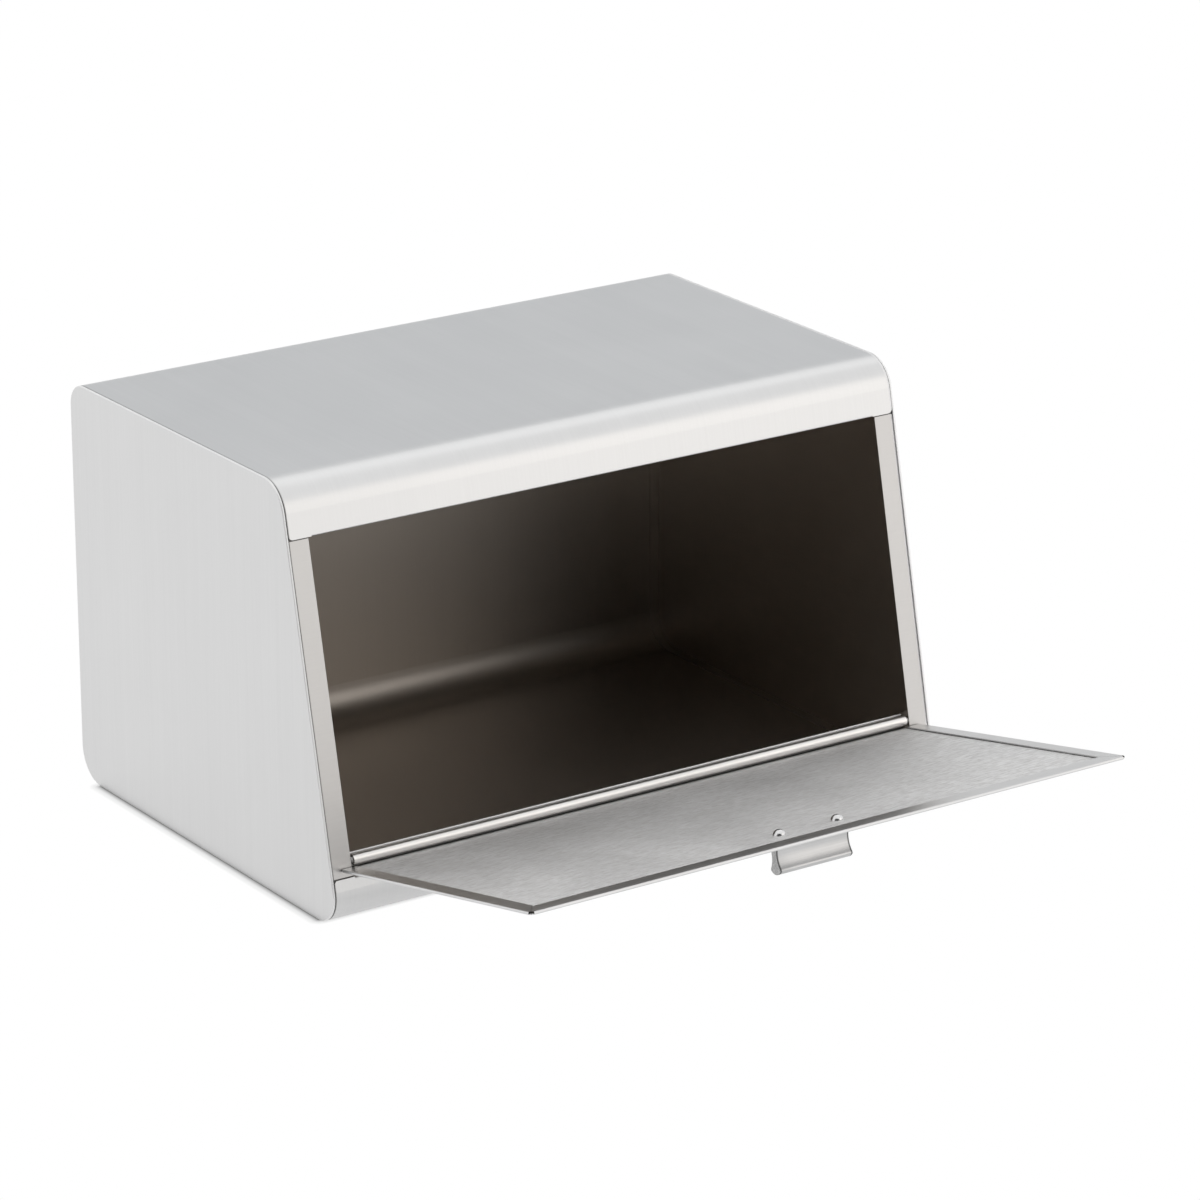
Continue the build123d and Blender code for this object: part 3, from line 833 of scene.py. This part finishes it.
shoulder = (DOME_SHOULDER * HEAD_RADIUS, DOME_SHOULDER * HEAD_HEIGHT)
dome_middle, dome_radius = circle_through((HEAD_RADIUS, 0), shoulder, (HOLE_RADIUS, HEAD_HEIGHT))
start = math.atan2(-dome_middle.y, HEAD_RADIUS - dome_middle.x)
stop = math.atan2(HEAD_HEIGHT - dome_middle.y, HOLE_RADIUS - dome_middle.x)
level, radius = 0.0, HEAD_RADIUS
for k in range(1, DOME_STEPS + 1):
    angle = start + (stop - start) * k / DOME_STEPS
    ring = dome_middle + dome_radius * Vector((math.cos(angle), math.sin(angle)))
    grow(ring.y - level, ring.x, radius, ring.y)
    radius, level = ring
for ring_radius, ring_level in [
    (HOLE_RADIUS, HEAD_HEIGHT - HOLE_DEPTH),
    (STUB_RADIUS, HEAD_HEIGHT - HOLE_DEPTH),
    (STUB_RADIUS, HEAD_HEIGHT - HOLE_DEPTH + STUB_RISE),
]:
    grow(ring_level - level, ring_radius, radius, ring_level)
    radius, level = ring_radius, ring_level
bpy.ops.object.mode_set(mode="OBJECT")
print("rivet head:", len(rivet.data.polygons), "faces")

# %% Rivet: shank
SHANK_RADIUS = 0.0015
SHANK_LENGTH = 0.0056

bpy.ops.object.mode_set(mode="EDIT")
bpy.ops.mesh.select_all(action="DESELECT")
mesh = bmesh.from_edit_mesh(rivet.data)
for face in mesh.faces:
    face.select_set(len(face.verts) > 4 and abs(face.calc_center_median().z) < TINY)
bmesh.update_edit_mesh(rivet.data)
under = sum(face.select for face in mesh.faces)
bpy.ops.mesh.inset(thickness=HEAD_RADIUS - SHANK_RADIUS)
bpy.ops.mesh.extrude_region_move(TRANSFORM_OT_translate={"value": (0, 0, -SHANK_LENGTH)})
bpy.ops.mesh.select_all(action="SELECT")
bpy.ops.mesh.normals_make_consistent(inside=False)
bpy.ops.object.mode_set(mode="OBJECT")
bpy.ops.object.shade_smooth_by_angle(angle=math.radians(40))
print("faces under the head:", under, "rivet faces:", len(rivet.data.polygons))

# %% Rivets: two in place
RIVET_PITCH = 0.032

twin = rivet.copy()
twin.data = rivet.data.copy()
twin.name = "rivet_right"
scene.collection.objects.link(twin)
for piece, side in ((rivet, -1), (twin, 1)):
    set_on_door(piece, side * RIVET_PITCH / 2, PANEL_OVER)
    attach(piece, "door")
    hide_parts("handle_rivets")
low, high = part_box("handle_rivets")
print("rivets span, mm:", round(1000 * (high.x - low.x), 2))

# %% [markdown]
# Extruded aluminium keeps faint die lines along the bar, and its two ends show the saw's speckled cut.
# The ends are the faces that look along X, so the facing picks them out,
# and the distance from the middle finds a thin dark line painted round the bar just short of each end.

# %% Finish: extruded pull
DIE_LINES = (12.0, 2500.0, 2500.0)
SAW_GRAIN = 0.0006
PULL_HAZE = 0.02
SAWN_FACING = (0.85, 0.97)  # how squarely a face looks along the bar where the cut begins and is full
DARK_END_LINE = (0.001, 0.0006)  # from the end, where the dark line begins and where it is full

material, tree = empty_material("extruded pull")
place, facing = in_door_frame(tree)
lines = use(tree, brushed_lines, Place=place, Stretch=DIE_LINES)["Lines"]
speckle = use(tree, rolled_speckle, Place=place, Grain=SAW_GRAIN)["Speckle"]
haze = use(tree, handling_haze, Place=place, Size=PULL_HAZE)["Haze"]
endways = math_of(tree, "ABSOLUTE", add(tree, "SeparateXYZ", Vector=facing).outputs["X"])
sawn = remap(tree, endways, *SAWN_FACING)
from_middle = math_of(tree, "ABSOLUTE", add(tree, "SeparateXYZ", Vector=place).outputs["X"])
dark_end_line = remap(tree, from_middle, PULL_WIDTH / 2 - DARK_END_LINE[0], PULL_WIDTH / 2 - DARK_END_LINE[1])
bar = mix_colours(tree, lines, grey(0.54), grey(0.62))
bar = shaded(tree, bar, spread(tree, haze, 0.93, 1.02))
# a thin dark line is painted round the bar near each end
bar = mix_colours(tree, dark_end_line, bar, grey(0.12))
cut = mix_colours(tree, speckle, grey(0.40), grey(0.68))
colour = mix_colours(tree, sawn, bar, cut)
gloss = mix_values(tree, sawn, spread(tree, lines, 0.285, 0.34), spread(tree, speckle, 0.5, 0.38))
height = mix_values(tree, sawn, lines, speckle)
close_as_metal(tree, colour, gloss, bump(tree, height, strength=0.2, depth=0.00005))
dress(pull, material)
print("pull:", material.name)

# %% Finish: rivet head and mandrel
RIVET_HAZE = 0.004
SLACK = 1e-5


def rivet_finish(name, dark, light, smooth, rough, grain):
    """Speckled metal between two colours and two roughnesses."""
    material, tree = empty_material(name)
    place = in_door_frame(tree)[0]
    speckle = use(tree, rolled_speckle, Place=place, Grain=grain)["Speckle"]
    haze = use(tree, handling_haze, Place=place, Size=RIVET_HAZE)["Haze"]
    skin = mix_colours(tree, speckle, dark, light)
    skin = shaded(tree, skin, spread(tree, haze, 0.92, 1.02))
    gloss = spread(tree, speckle, smooth, rough)
    close_as_metal(tree, skin, gloss, bump(tree, speckle, strength=0.15, depth=0.00004))
    return material


head_finish = rivet_finish("rivet head", dark=grey(0.70), light=grey(0.82),
                           smooth=0.18, rough=0.27, grain=0.0007)
# the stub's near-black colour is partly its rough broken steel and partly painted shade at the bottom of the
# hole
mandrel_finish = rivet_finish("broken mandrel", dark=grey(0.05), light=grey(0.16),
                              smooth=0.5, rough=0.65, grain=0.0002)
to_door = lie_on_door.inverted()
for piece in (rivet, twin):
    dress(piece, head_finish, mandrel_finish)
    for face in piece.data.polygons:
        spot = to_door @ face.center
        from_axis = math.hypot(abs(spot.x) - RIVET_PITCH / 2, spot.y - PULL_OUT)
        in_hole = PANEL_OVER < spot.z < PANEL_OVER + HEAD_HEIGHT - SLACK
        if in_hole and from_axis < HOLE_RADIUS - SLACK:
            face.material_index = 1
print("mandrel faces:", sum(face.material_index for face in rivet.data.polygons))
